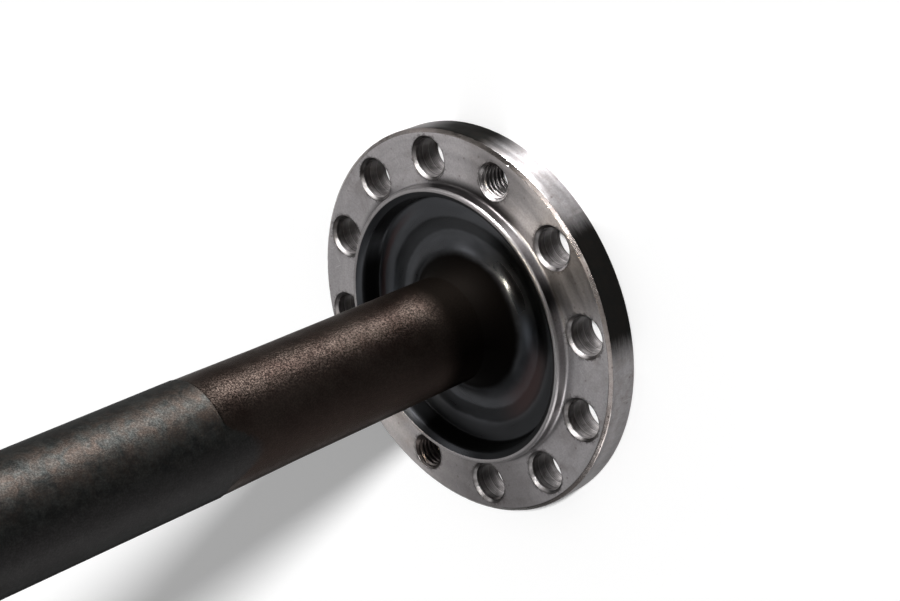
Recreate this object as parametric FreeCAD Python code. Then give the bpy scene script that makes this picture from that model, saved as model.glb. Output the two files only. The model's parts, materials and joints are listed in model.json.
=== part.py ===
import FreeCAD, Part
import math
import os

# Flanged half shaft of a truck's driving axle, forged and turned from one bar.
# All sizes are in millimetres and degrees. The origin is at the centre of the
# flange's outer face, and +Z runs along the shaft towards its splined end.

# Flange plate
web_thickness = 7.7
dish_depth = 6.0
rim_bevel_width = 1.5
rim_bevel_drop = 1.07
back_edge_chamfer = 1.0
hole_edge_margin = 1.35

# Bolt holes and the two jacking threads on one circle
hole_count = 12
bolt_hole_diameter = 15.7
bolt_hole_chamfer = 1.15
bolt_hole_back_chamfer = 0.6
hole_spigot_margin = 0.25
jack_thread_diameter = 14.0
jack_thread_pitch = 2.0
jack_countersink_lip = 0.8

# Spigot ring that centres the flange in the hub
spigot_height = 4.93
spigot_foot_fillet = 1.2
spigot_chamfer = 0.7
spigot_land_width = 1.1
spigot_bevel_width = 2.5
spigot_bevel_drop = 1.79

# Dish inside the ring
wall_lean = 1.3
wall_foot_easing = 0.6
floor_width = 8.2
floor_rise = 0.55
bowl_width = 8.0
bowl_rise = 1.25
neck_fillet = 14.0

# Shaft
overall_length = 880.0
neck_diameter = 43.8
neck_length = 88.0
taper_length = 36.9
taper_rise = 0.45
step_rise = 0.25
step_length = 0.5

# Splined end, upset so that the tooth roots stand clear of the bar
spline_length = 92.0
spline_teeth = 30
spline_root_lift = 0.7
spline_tooth_depth = 1.55
spline_flank_angle = 30.0
spline_end_chamfer = 2.0
upset_length = 9.0

# Lathe centres drilled in both ends
centre_mouth_diameter = 13.2
centre_pilot_diameter = 6.3
centre_cone_angle = 60.0
centre_pilot_depth = 6.0

# Radii that follow, from the shaft outwards
neck_r = neck_diameter / 2
taper_r = neck_r + taper_rise
bar_r = taper_r + step_rise
spline_root_r = bar_r + spline_root_lift
spline_tip_r = spline_root_r + spline_tooth_depth
bowl_bottom_r = neck_r + neck_fillet
bowl_edge_r = bowl_bottom_r + bowl_width
wall_foot_r = bowl_edge_r + floor_width
wall_top_r = wall_foot_r + wall_lean
land_inner_r = wall_top_r + spigot_bevel_width
land_outer_r = land_inner_r + spigot_land_width
spigot_r = land_outer_r + spigot_chamfer
hole_mouth_r = bolt_hole_diameter / 2 + bolt_hole_chamfer
bolt_circle_r = spigot_r + spigot_foot_fillet + hole_spigot_margin + hole_mouth_r
flange_r = bolt_circle_r + hole_mouth_r + hole_edge_margin + rim_bevel_width

# Heights that follow, from the outer face up
face_z = web_thickness + dish_depth
spigot_top_z = face_z + spigot_height
bowl_edge_z = web_thickness + bowl_rise
wall_foot_z = bowl_edge_z + floor_rise
neck_foot_z = web_thickness + neck_fillet
taper_start_z = neck_foot_z + neck_length
step_z = taper_start_z + taper_length
spline_start_z = overall_length - spline_length

# Jacking holes, bored to the crests of a metric thread
thread_depth_per_pitch = 0.54127
jack_bore_r = jack_thread_diameter / 2 - thread_depth_per_pitch * jack_thread_pitch
jack_mouth_r = jack_thread_diameter / 2 + jack_countersink_lip

# How far a cutting tool passes the surface that it opens
overrun = 1.0


class Section:
    """Half section of a turned piece, drawn edge by edge in the XZ plane."""

    def __init__(self, r, z):
        self.edges = []
        self.tip = FreeCAD.Vector(r, 0, z)

    def line_to(self, r, z):
        end = FreeCAD.Vector(r, 0, z)
        self.edges.append(Part.LineSegment(self.tip, end).toShape())
        self.tip = end

    def arc_to(self, r, z, centre_r, centre_z):
        """Adds the shorter arc about a centre at equal distance from both ends."""
        centre = FreeCAD.Vector(centre_r, 0, centre_z)
        end = FreeCAD.Vector(r, 0, z)
        middle = (self.tip - centre) + (end - centre)
        middle.multiply((self.tip - centre).Length / middle.Length)
        self.edges.append(Part.Arc(self.tip, centre + middle, end).toShape())
        self.tip = end

    def turned(self):
        """Closes the section and turns it about the shaft's axis."""
        start = self.edges[0].Vertexes[0].Point
        self.line_to(start.x, start.z)
        face = Part.Face(Part.Wire(self.edges))
        return face.revolve(FreeCAD.Vector(), FreeCAD.Vector(0, 0, 1), 360)


def draw_flange_rim(section):
    """Outer face, chamfered back edge, rim and the bevel beside the bolting face."""
    section.line_to(flange_r - back_edge_chamfer, 0)
    section.line_to(flange_r, back_edge_chamfer)
    section.line_to(flange_r, face_z - rim_bevel_drop)
    section.line_to(flange_r - rim_bevel_width, face_z)


def draw_spigot(section):
    """Bolting face up to the ring, the ring's outside, land and inner bevel."""
    foot_r = spigot_r + spigot_foot_fillet
    section.line_to(foot_r, face_z)
    section.arc_to(spigot_r, face_z + spigot_foot_fillet, foot_r, face_z + spigot_foot_fillet)
    section.line_to(spigot_r, spigot_top_z - spigot_chamfer)
    section.line_to(land_outer_r, spigot_top_z)
    section.line_to(land_inner_r, spigot_top_z)
    section.line_to(wall_top_r, spigot_top_z - spigot_bevel_drop)


def draw_dish(section):
    """Leaning wall with an eased foot, floor, shallow bowl and the fillet up to the neck."""
    section.line_to(wall_foot_r, wall_foot_z + wall_foot_easing)
    section.line_to(wall_foot_r - wall_foot_easing, wall_foot_z)
    section.line_to(bowl_edge_r, bowl_edge_z)
    bowl_curve = (bowl_width ** 2 + bowl_rise ** 2) / (2 * bowl_rise)
    section.arc_to(bowl_bottom_r, web_thickness, bowl_bottom_r, web_thickness + bowl_curve)
    section.arc_to(neck_r, neck_foot_z, bowl_bottom_r, neck_foot_z)


def draw_shaft(section):
    """Neck, its slow taper and step, the bar and the upset end."""
    section.line_to(neck_r, taper_start_z)
    section.line_to(taper_r, step_z)
    section.line_to(bar_r, step_z + step_length)
    section.line_to(bar_r, spline_start_z - upset_length)
    section.line_to(spline_tip_r, spline_start_z)
    section.line_to(spline_tip_r, overall_length - spline_end_chamfer)
    section.line_to(spline_tip_r - spline_end_chamfer, overall_length)
    section.line_to(0, overall_length)


def turned_blank():
    """The whole shaft with its flange, before it is drilled and splined."""
    section = Section(0, 0)
    draw_flange_rim(section)
    draw_spigot(section)
    draw_dish(section)
    draw_shaft(section)
    return section.turned()


def drill(radius, chamfer, back_chamfer):
    """Cutter for a hole through the flange, chamfered at both faces."""
    cutter = Section(0, -overrun)
    cutter.line_to(radius + back_chamfer + overrun, -overrun)
    cutter.line_to(radius, back_chamfer)
    cutter.line_to(radius, face_z - chamfer)
    cutter.line_to(radius + chamfer + overrun, face_z + overrun)
    cutter.line_to(0, face_z + overrun)
    return cutter.turned()


def on_bolt_circle(cutter, position):
    """Places a cutter at one of the equal divisions of the bolt circle."""
    placed = cutter.copy()
    placed.translate(FreeCAD.Vector(bolt_circle_r, 0, 0))
    placed.rotate(FreeCAD.Vector(), FreeCAD.Vector(0, 0, 1), position * 360 / hole_count)
    return placed


def flange_holes():
    """Plain bolt holes, and two jacking holes opposite each other on the Y axis."""
    bolt_drill = drill(bolt_hole_diameter / 2, bolt_hole_chamfer, bolt_hole_back_chamfer)
    jack_chamfer = jack_mouth_r - jack_bore_r
    jack_drill = drill(jack_bore_r, jack_chamfer, jack_chamfer)
    half_turn = hole_count // 2
    cutters = []
    for position in range(hole_count):
        is_jack = position % half_turn == half_turn // 2
        cutters.append(on_bolt_circle(jack_drill if is_jack else bolt_drill, position))
    return cutters


def spline_grooves():
    """Straight grooves between the teeth, open at the end and above the bar."""
    pitch_r = (spline_root_r + spline_tip_r) / 2
    half_space = math.pi * pitch_r / spline_teeth / 2
    flank_slope = math.tan(math.radians(spline_flank_angle))
    outer_r = spline_tip_r + overrun
    half_root = half_space - (pitch_r - spline_root_r) * flank_slope
    half_mouth = half_space + (outer_r - pitch_r) * flank_slope
    start_z = spline_start_z - upset_length - overrun
    corners = [(spline_root_r, -half_root), (outer_r, -half_mouth),
               (outer_r, half_mouth), (spline_root_r, half_root)]
    points = [FreeCAD.Vector(x, y, start_z) for x, y in corners]
    outline = Part.makePolygon(points + points[:1])
    groove = Part.Face(outline).extrude(FreeCAD.Vector(0, 0, overall_length + overrun - start_z))
    grooves = []
    for tooth in range(spline_teeth):
        placed = groove.copy()
        placed.rotate(FreeCAD.Vector(), FreeCAD.Vector(0, 0, 1), tooth * 360 / spline_teeth)
        grooves.append(placed)
    return grooves


def lathe_centre(face_height, inward):
    """Coned centre hole in an end face, with its pilot drilled inward."""
    mouth_r = centre_mouth_diameter / 2
    pilot_r = centre_pilot_diameter / 2
    slope = math.tan(math.radians(centre_cone_angle / 2))
    cone_depth = (mouth_r - pilot_r) / slope
    cutter = Section(0, face_height - inward * overrun)
    cutter.line_to(mouth_r + overrun * slope, face_height - inward * overrun)
    cutter.line_to(pilot_r, face_height + inward * cone_depth)
    cutter.line_to(pilot_r, face_height + inward * (cone_depth + centre_pilot_depth))
    cutter.line_to(0, face_height + inward * (cone_depth + centre_pilot_depth))
    return cutter.turned()


def axle_shaft():
    """The finished shaft: one solid."""
    centres = [lathe_centre(0, 1), lathe_centre(overall_length, -1)]
    return turned_blank().cut(flange_holes() + spline_grooves() + centres)


os.makedirs("parts", exist_ok=True)
axle_shaft().exportStep("parts/axle_shaft.step")
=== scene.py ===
"""Looks of a truck's flanged half shaft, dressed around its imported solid.

The shaft is one forging, so it is one mesh with a finish for each stretch of its surface.
Lengths are in metres. The shaft stands on its flange's outer face, and +Z runs along it.
"""

import json
import logging
import math
from dataclasses import dataclass
from enum import Enum
from functools import reduce

import bmesh
import bpy
from mathutils import Matrix, Vector, noise


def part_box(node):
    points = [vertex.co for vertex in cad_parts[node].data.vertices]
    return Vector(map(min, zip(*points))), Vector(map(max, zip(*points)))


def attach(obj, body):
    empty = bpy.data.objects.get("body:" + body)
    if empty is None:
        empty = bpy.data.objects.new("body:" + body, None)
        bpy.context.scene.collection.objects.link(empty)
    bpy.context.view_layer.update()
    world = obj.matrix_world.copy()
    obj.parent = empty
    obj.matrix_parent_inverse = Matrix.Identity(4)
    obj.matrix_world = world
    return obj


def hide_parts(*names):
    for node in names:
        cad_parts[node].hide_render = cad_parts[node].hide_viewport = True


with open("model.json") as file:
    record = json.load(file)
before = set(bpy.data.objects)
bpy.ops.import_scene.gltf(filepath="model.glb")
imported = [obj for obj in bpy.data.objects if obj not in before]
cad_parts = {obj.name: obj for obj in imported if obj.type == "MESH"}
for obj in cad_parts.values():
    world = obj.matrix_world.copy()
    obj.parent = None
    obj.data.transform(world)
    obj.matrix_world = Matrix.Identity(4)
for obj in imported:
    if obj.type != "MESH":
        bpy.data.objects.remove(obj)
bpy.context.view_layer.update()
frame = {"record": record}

Colour = tuple[float, float, float]
Socket = bpy.types.NodeSocket
Outputs = bpy.types.NodeOutputs

MM = 0.001
NODE = "axle_shaft"
UP = Vector((0, 0, 1))
FLAT = Vector((1, 1, 0))
WHITE: Colour = (1.0, 1.0, 1.0)
SKY: Colour = (0.85, 0.93, 1.0)
QUARTER_TURN = 0.25

# Faces round the shaft's axis, a whole number for each spline tooth
COLUMNS = 480

# Points of one turned surface that lie closer than this are one point
WELD = 0.002 * MM

# Points and heights of the whole mesh that lie closer than this are the same
LEVEL = 0.001 * MM

log = logging.getLogger("axle_shaft")


class Region(Enum):
    """Stretches of the surface that each have a finish of their own, in slot order."""

    FACE = 0
    RIM = 1
    RING = 2
    DISH = 3
    NECK = 4
    BAR = 5
    BORE = 6
    THREAD = 7
    SPLINE = 8
    BACK = 9
    BEVEL = 10
    CHAMFER = 11


@dataclass(frozen=True)
class ShaftSizes:
    """Sizes of the forging. The frame gives the outer ones, and the rest are the solid's own."""

    length: float
    flange_r: float
    bolt_circle_r: float
    hole_r: float
    spigot_r: float
    jack_minor_r: float
    face_z: float
    hole_count: int = 12
    web: float = 7.7 * MM
    rim_bevel_width: float = 1.5 * MM
    rim_bevel_drop: float = 1.07 * MM
    back_chamfer: float = 1.0 * MM
    hole_chamfer: float = 1.15 * MM
    hole_back_chamfer: float = 0.6 * MM
    jack_mouth_r: float = 7.8 * MM
    spigot_height: float = 4.93 * MM
    spigot_foot: float = 1.2 * MM
    spigot_chamfer: float = 0.7 * MM
    land_width: float = 1.1 * MM
    inner_bevel_width: float = 2.5 * MM
    inner_bevel_drop: float = 1.79 * MM
    wall_lean: float = 1.3 * MM
    floor_width: float = 8.2 * MM
    floor_rise: float = 0.55 * MM
    bowl_width: float = 8.0 * MM
    bowl_rise: float = 1.25 * MM
    neck_fillet: float = 14.0 * MM
    neck_length: float = 88.0 * MM
    taper_length: float = 36.9 * MM
    taper_rise: float = 0.45 * MM
    step_rise: float = 0.25 * MM
    step_length: float = 0.5 * MM
    spline_length: float = 92.0 * MM
    spline_teeth: int = 30
    spline_root_lift: float = 0.7 * MM
    spline_tooth_depth: float = 1.55 * MM
    spline_end_chamfer: float = 2.0 * MM
    upset_length: float = 9.0 * MM
    centre_mouth_r: float = 6.6 * MM
    centre_pilot_r: float = 3.15 * MM
    centre_cone: float = 5.975 * MM
    centre_pilot: float = 6.0 * MM

    @classmethod
    def from_frame(cls, record: dict) -> "ShaftSizes":
        """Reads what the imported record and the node's box say.

        Args:
            record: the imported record.

        Returns:
            The sizes, in metres.
        """
        mounts = {mount["name"]: mount for mount in record["mounts"]}
        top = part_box(NODE)[1]
        jack = mounts["jacking_thread_a"]
        return cls(
            length=top.z,
            flange_r=top.x,
            bolt_circle_r=jack["pos_m"][1],
            hole_r=mounts["bolt_holes_wide"]["dims"]["hole_r_mm"] * MM,
            spigot_r=mounts["spigot_ring"]["dims"]["r_mm"] * MM,
            jack_minor_r=jack["dims"]["r_mm"] * MM,
            face_z=mounts["bolting_face"]["pos_m"][2],
        )

    @property
    def land_outer_r(self) -> float:
        """Outer edge of the ring's flat land."""
        return self.spigot_r - self.spigot_chamfer

    @property
    def land_inner_r(self) -> float:
        """Inner edge of the ring's flat land."""
        return self.land_outer_r - self.land_width

    @property
    def wall_top_r(self) -> float:
        """Top of the dish's leaning wall."""
        return self.land_inner_r - self.inner_bevel_width

    @property
    def wall_foot_r(self) -> float:
        """Foot of the dish's leaning wall."""
        return self.wall_top_r - self.wall_lean

    @property
    def bowl_edge_r(self) -> float:
        """Crease between the dish's floor and its bowl."""
        return self.wall_foot_r - self.floor_width

    @property
    def bowl_bottom_r(self) -> float:
        """Lowest circle of the bowl, where the neck's fillet starts."""
        return self.bowl_edge_r - self.bowl_width

    @property
    def neck_r(self) -> float:
        """Radius of the neck."""
        return self.bowl_bottom_r - self.neck_fillet

    @property
    def bar_r(self) -> float:
        """Radius of the bar beyond the step."""
        return self.neck_r + self.taper_rise + self.step_rise

    @property
    def spline_root_r(self) -> float:
        """Radius at the roots of the spline's teeth."""
        return self.bar_r + self.spline_root_lift

    @property
    def spline_tip_r(self) -> float:
        """Radius over the spline's teeth."""
        return self.spline_root_r + self.spline_tooth_depth

    @property
    def neck_foot_z(self) -> float:
        """Height where the fillet meets the neck."""
        return self.web + self.neck_fillet

    @property
    def taper_z(self) -> float:
        """Height where the neck starts to widen."""
        return self.neck_foot_z + self.neck_length

    @property
    def step_z(self) -> float:
        """Height of the step up to the bar."""
        return self.taper_z + self.taper_length

    @property
    def upset_z(self) -> float:
        """Height where the bar starts to widen towards the spline."""
        return self.length - self.spline_length - self.upset_length


@dataclass
class Outline:
    """Half outline in the XZ plane, to be turned about an upright axis.

    Args:
        r: radius of the first point.
        z: height of the first point.
    """

    r: float
    z: float

    def __post_init__(self) -> None:
        """Starts the outline with its first point."""
        self.mesh = bmesh.new()
        self.tip = self.mesh.verts.new((self.r, 0, self.z))

    def line_to(self, r: float, z: float, rows: int = 1, ease: float = 0.0) -> None:
        """Adds a straight stretch.

        Args:
            r: radius of its end.
            z: height of its end.
            rows: how many equal rows of faces it turns into.
            ease: how far its starting corner is rounded off, along both sides.
        """
        start, corner = self.tip.co.copy(), self.tip
        end = Vector((r, 0, z))
        for row in range(rows):
            following = self.mesh.verts.new(start.lerp(end, (row + 1) / rows))
            self.mesh.edges.new((self.tip, following))
            self.tip = following
        if ease:
            bmesh.ops.bevel(self.mesh, geom=[corner], offset=ease, segments=3, profile=0.5,
                            material=-1, affect="VERTICES")

    def arc_to(self, r: float, z: float, centre_r: float, centre_z: float, rows: int) -> None:
        """Adds a round stretch about a centre.

        Args:
            r: radius of its end.
            z: height of its end.
            centre_r: radius of its centre.
            centre_z: height of its centre.
            rows: how many rows of faces it turns into.
        """
        centre = Vector((centre_r, 0, centre_z))
        start, end = self.tip.co - centre, Vector((r, 0, z)) - centre
        for row in range(rows):
            along = start.slerp(end, (row + 1) / rows).normalized()
            following = self.mesh.verts.new(centre + along * start.length)
            self.mesh.edges.new((self.tip, following))
            self.tip = following

    def turn_into(self, target: bmesh.types.BMesh, columns: int, place: Vector = Vector()) -> None:
        """Turns the outline into a surface and adds it to a mesh.

        Args:
            target: the mesh that takes the surface.
            columns: how many faces go round.
            place: a point on the upright axis that it turns about.
        """
        shell = self.mesh
        bmesh.ops.spin(shell, geom=shell.verts[:] + shell.edges[:], cent=(0, 0, 0), axis=UP,
                       dvec=(0, 0, 0), angle=math.tau, steps=columns, use_merge=True,
                       use_duplicate=False, use_normal_flip=False, space=Matrix())
        bmesh.ops.remove_doubles(shell, verts=shell.verts[:], dist=WELD)
        bmesh.ops.translate(shell, verts=shell.verts[:], vec=place)
        carrier = bpy.data.meshes.new("turned")
        shell.to_mesh(carrier)
        shell.free()
        target.from_mesh(carrier)
        bpy.data.meshes.remove(carrier)


@dataclass
class TurnedBody:
    """Everything that is turned about the shaft's own axis."""

    sizes: ShaftSizes

    # How far the machined edges and the crease beside the bowl are rounded
    edge_break: float = 0.18 * MM
    crease_easing: float = 0.9 * MM

    # Widths of the turned strips of bolting face beside the rim and round the ring's foot
    rim_strip: float = 0.5 * MM
    foot_strip: float = 0.05 * MM

    def build(self, mesh: bmesh.types.BMesh) -> None:
        """Adds the rim, the ring, the dish with the whole shaft, and the lower lathe centre.

        Args:
            mesh: the mesh that takes the surfaces.
        """
        for outline in (self.rim(), self.ring_to_shaft_end(), self.lower_centre()):
            outline.turn_into(mesh, COLUMNS)

    def rim(self) -> Outline:
        """Draws the rim.

        Returns:
            Its outline, from the outer face to the bolting face.
        """
        s = self.sizes
        back_r, face_r = s.flange_r - s.back_chamfer, s.flange_r - s.rim_bevel_width
        outline = Outline(back_r - self.edge_break, 0)
        outline.line_to(back_r, 0)
        outline.line_to(s.flange_r, s.back_chamfer, ease=self.edge_break / 2)
        outline.line_to(s.flange_r, s.face_z - s.rim_bevel_drop, rows=8, ease=self.edge_break)
        outline.line_to(face_r, s.face_z, rows=3, ease=self.edge_break)
        outline.line_to(face_r - self.rim_strip, s.face_z, ease=self.edge_break)
        return outline

    def ring_to_shaft_end(self) -> Outline:
        """Draws everything from the ring inwards and on up the shaft.

        Returns:
            The outline from the ring's foot, through the dish, to the far end's centre.
        """
        s = self.sizes
        foot_r, foot_z = s.spigot_r + s.spigot_foot, s.face_z + s.spigot_foot
        outline = Outline(foot_r + self.foot_strip, s.face_z)
        outline.line_to(foot_r, s.face_z)
        outline.arc_to(s.spigot_r, foot_z, foot_r, foot_z, rows=6)
        self.draw_ring(outline)
        self.draw_dish(outline)
        self.draw_shaft(outline)
        return outline

    def draw_ring(self, outline: Outline) -> None:
        """Adds the ring's wall, land and inner bevel.

        Args:
            outline: the outline, which has reached the ring's foot.
        """
        s = self.sizes
        top = s.face_z + s.spigot_height
        outline.line_to(s.spigot_r, top - s.spigot_chamfer, rows=2)
        outline.line_to(s.land_outer_r, top, ease=self.edge_break)
        outline.line_to(s.land_inner_r, top, ease=self.edge_break)
        outline.line_to(s.wall_top_r, top - s.inner_bevel_drop, rows=2, ease=self.edge_break)

    def draw_dish(self, outline: Outline) -> None:
        """Adds the leaning wall, the floor, the bowl and the fillet up to the neck.

        Args:
            outline: the outline, which has reached the top of the wall.
        """
        s = self.sizes
        edge_z = s.web + s.bowl_rise
        outline.line_to(s.wall_foot_r, edge_z + s.floor_rise, rows=6, ease=self.edge_break)
        outline.line_to(s.bowl_edge_r, edge_z, rows=4, ease=self.crease_easing)
        bowl_curve = (s.bowl_width ** 2 + s.bowl_rise ** 2) / (2 * s.bowl_rise)
        outline.arc_to(s.bowl_bottom_r, s.web, s.bowl_bottom_r, s.web + bowl_curve, rows=7)
        outline.arc_to(s.neck_r, s.neck_foot_z, s.bowl_bottom_r, s.neck_foot_z, rows=18)

    def draw_shaft(self, outline: Outline) -> None:
        """Adds the neck, the taper, the step, the bar and the upset end with its centre.

        Args:
            outline: the outline, which has reached the neck's foot.
        """
        s = self.sizes
        cone_z = s.length - s.centre_cone
        outline.line_to(s.neck_r, s.taper_z, rows=4)
        outline.line_to(s.bar_r - s.step_rise, s.step_z, rows=3)
        outline.line_to(s.bar_r, s.step_z + s.step_length, rows=2)
        outline.line_to(s.bar_r, s.upset_z, rows=4)
        outline.line_to(s.spline_tip_r, s.length - s.spline_length, rows=9)
        outline.line_to(s.spline_tip_r, s.length - s.spline_end_chamfer, rows=4)
        outline.line_to(s.spline_tip_r - s.spline_end_chamfer, s.length, rows=7)
        outline.line_to(s.centre_mouth_r, s.length, rows=2)
        outline.line_to(s.centre_pilot_r, cone_z)
        outline.line_to(s.centre_pilot_r, cone_z - s.centre_pilot)
        outline.line_to(0, cone_z - s.centre_pilot)

    def lower_centre(self) -> Outline:
        """Draws the lathe centre in the flange's outer face.

        Returns:
            Its outline.
        """
        s = self.sizes
        outline = Outline(0, s.centre_cone + s.centre_pilot)
        outline.line_to(s.centre_pilot_r, s.centre_cone + s.centre_pilot)
        outline.line_to(s.centre_pilot_r, s.centre_cone)
        outline.line_to(s.centre_mouth_r, 0)
        outline.line_to(s.centre_mouth_r + self.edge_break, 0)
        return outline


@dataclass
class BoltCircle:
    """The plain holes and the two jacking threads through the flange."""

    sizes: ShaftSizes

    # Faces round a plain hole, and faces round and rows through a threaded one
    columns: int = 56
    thread_columns: int = 72
    thread_rows: int = 112

    # The thread's radius at the bottom of its groove, its pitch, and the shares of the pitch from a
    # crest's middle to its flank and across a flank
    thread_major_r: float = 7.0 * MM
    thread_pitch: float = 2.0 * MM
    crest_share: float = 0.125
    flank_share: float = 0.3125

    # Width of the strip of flat face round each mouth
    lip: float = 0.12 * MM

    # Rings that the drill leaves in a bolt hole, their depth and the share of each where it is deepest
    drill_marks: int = 10
    mark_depth: float = 0.05 * MM
    mark_lead: float = 0.55

    def centre(self, position: int) -> Vector:
        """Returns the point in the outer face on a hole's axis.

        Args:
            position: which of the equal divisions, counted from +X.
        """
        turn = math.tau * position / self.sizes.hole_count
        return Vector((math.cos(turn), math.sin(turn), 0)) * self.sizes.bolt_circle_r

    def is_jack(self, position: int) -> bool:
        """Returns whether a position holds a jacking thread."""
        half_turn = self.sizes.hole_count // 2
        return position % half_turn == half_turn // 2

    def build(self, mesh: bmesh.types.BMesh) -> None:
        """Adds the wall of every hole.

        Args:
            mesh: the mesh that takes the walls.
        """
        for position in range(self.sizes.hole_count):
            centre = self.centre(position)
            if self.is_jack(position):
                self.threaded_wall().turn_into(mesh, self.thread_columns, centre)
            else:
                self.plain_wall().turn_into(mesh, self.columns, centre)
        self.cut_threads(mesh)

    def plain_wall(self) -> Outline:
        """Draws a bolt hole's wall, with its chamfers and the drill's rings.

        Returns:
            Its outline, from the bolting face.
        """
        s = self.sizes
        mouth_r, back_r = s.hole_r + s.hole_chamfer, s.hole_r + s.hole_back_chamfer
        wall_z = s.face_z - s.hole_chamfer
        outline = Outline(mouth_r + self.lip, s.face_z)
        outline.line_to(mouth_r, s.face_z)
        outline.line_to(s.hole_r, wall_z, ease=self.lip / 2)
        ridge = (wall_z - s.hole_back_chamfer) / self.drill_marks
        for mark in range(self.drill_marks):
            crest_z = wall_z - mark * ridge
            outline.line_to(s.hole_r + self.mark_depth, crest_z - self.mark_lead * ridge)
            outline.line_to(s.hole_r, crest_z - ridge)
        outline.line_to(back_r, 0)
        outline.line_to(back_r + self.lip, 0)
        return outline

    def threaded_wall(self) -> Outline:
        """Draws a jacking hole's wall, still without its thread.

        Returns:
            Its outline, from the bolting face.
        """
        s = self.sizes
        outline = Outline(s.jack_mouth_r + self.lip, s.face_z)
        outline.line_to(s.jack_mouth_r, s.face_z)
        outline.line_to(s.jack_mouth_r, 0, rows=self.thread_rows)
        outline.line_to(s.jack_mouth_r + self.lip, 0)
        return outline

    def thread_r(self, turn: float, z: float) -> float:
        """Works out the form of the thread, cut into its countersinks.

        Args:
            turn: angle round the hole's axis.
            z: height in the flange.

        Returns:
            Distance from the hole's axis to its wall.
        """
        s = self.sizes
        off_crest = abs((z / self.thread_pitch - turn / math.tau) % 1 - 0.5)
        groove = min(max((off_crest - self.crest_share) / self.flank_share, 0), 1)
        thread = s.jack_minor_r + (self.thread_major_r - s.jack_minor_r) * groove
        return max(thread, s.jack_mouth_r - min(z, s.face_z - z))

    def cut_threads(self, mesh: bmesh.types.BMesh) -> None:
        """Moves the walls of the jacking holes to the form of their thread.

        Args:
            mesh: the mesh with the walls.
        """
        s = self.sizes
        for position in filter(self.is_jack, range(s.hole_count)):
            centre = self.centre(position)
            for vert in mesh.verts:
                arm = vert.co - centre
                height, arm.z = arm.z, 0
                if arm.length < s.jack_mouth_r + WELD and 0 < height < s.face_z:
                    radius = self.thread_r(math.atan2(arm.y, arm.x), height)
                    vert.co = centre + arm.normalized() * radius + UP * height


@dataclass
class Spline:
    """Teeth round the shaft's upset end, shaped from its turned surface."""

    sizes: ShaftSizes

    # Shares of a tooth's pitch that its tip and its root take
    tip_share: float = 0.3125
    root_share: float = 0.3125

    def tooth_r(self, turn: float) -> float:
        """Works out the form of the teeth.

        Args:
            turn: angle round the shaft's axis.

        Returns:
            Distance from the shaft's axis to the toothed surface.
        """
        s = self.sizes
        off_root = abs((turn * s.spline_teeth / math.tau) % 1 - 0.5) * 2
        flank = (off_root - self.root_share) / (1 - self.root_share - self.tip_share)
        return s.spline_root_r + s.spline_tooth_depth * min(max(flank, 0), 1)

    def shape(self, mesh: bmesh.types.BMesh) -> None:
        """Sinks the surface between the teeth.

        Args:
            mesh: the mesh with the turned end, seen a half column off the teeth's middles.
        """
        s = self.sizes
        half_column = math.pi / COLUMNS
        for vert in mesh.verts:
            radius = math.hypot(vert.co.x, vert.co.y)
            if vert.co.z < s.upset_z or radius < s.spline_root_r:
                continue
            turn = math.atan2(vert.co.y, vert.co.x)
            wanted = min(radius, self.tooth_r(turn + half_column))
            vert.co = Vector((vert.co.x * wanted / radius, vert.co.y * wanted / radius, vert.co.z))


@dataclass(frozen=True)
class Bruising:
    """Small dents along the rim's bevelled edge, as real changes of its form."""

    # Depth of a dent for each unit of wear, its length along the edge, and how far the dents reach
    # from the edge and up to the bolting face
    depth: float = 0.35 * MM
    spread: float = 2.6 * MM
    band: float = 2.2 * MM
    face_strip: float = 0.05 * MM

    # How much closer fine dents are than coarse ones, and how deep they are beside them
    fine_step: float = 2.7
    fine_share: float = 0.5

    # Wear that leaves no dent, and more wear that leaves the deepest
    spared: float = 0.12
    most: float = 0.7

    def apply(self, mesh: bmesh.types.BMesh, sizes: ShaftSizes) -> None:
        """Pushes the edge in where the dents are.

        Args:
            mesh: the mesh with the rim.
            sizes: sizes of the forging.
        """
        edge_r = sizes.flange_r - sizes.rim_bevel_width / 2
        edge_z = sizes.face_z - sizes.rim_bevel_drop / 2
        for vert in mesh.verts:
            spot, outwards = vert.co, vert.co * FLAT
            off_edge = math.hypot(outwards.length - edge_r, spot.z - edge_z)
            if off_edge > self.band or spot.z > sizes.face_z - self.face_strip:
                continue
            wear = noise.noise(spot / self.spread)
            wear += self.fine_share * noise.noise(spot * self.fine_step / self.spread)
            push = self.depth * min(max(wear - self.spared, 0), self.most) * (1 - off_edge / self.band)
            vert.co -= outwards.normalized() * push


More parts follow.
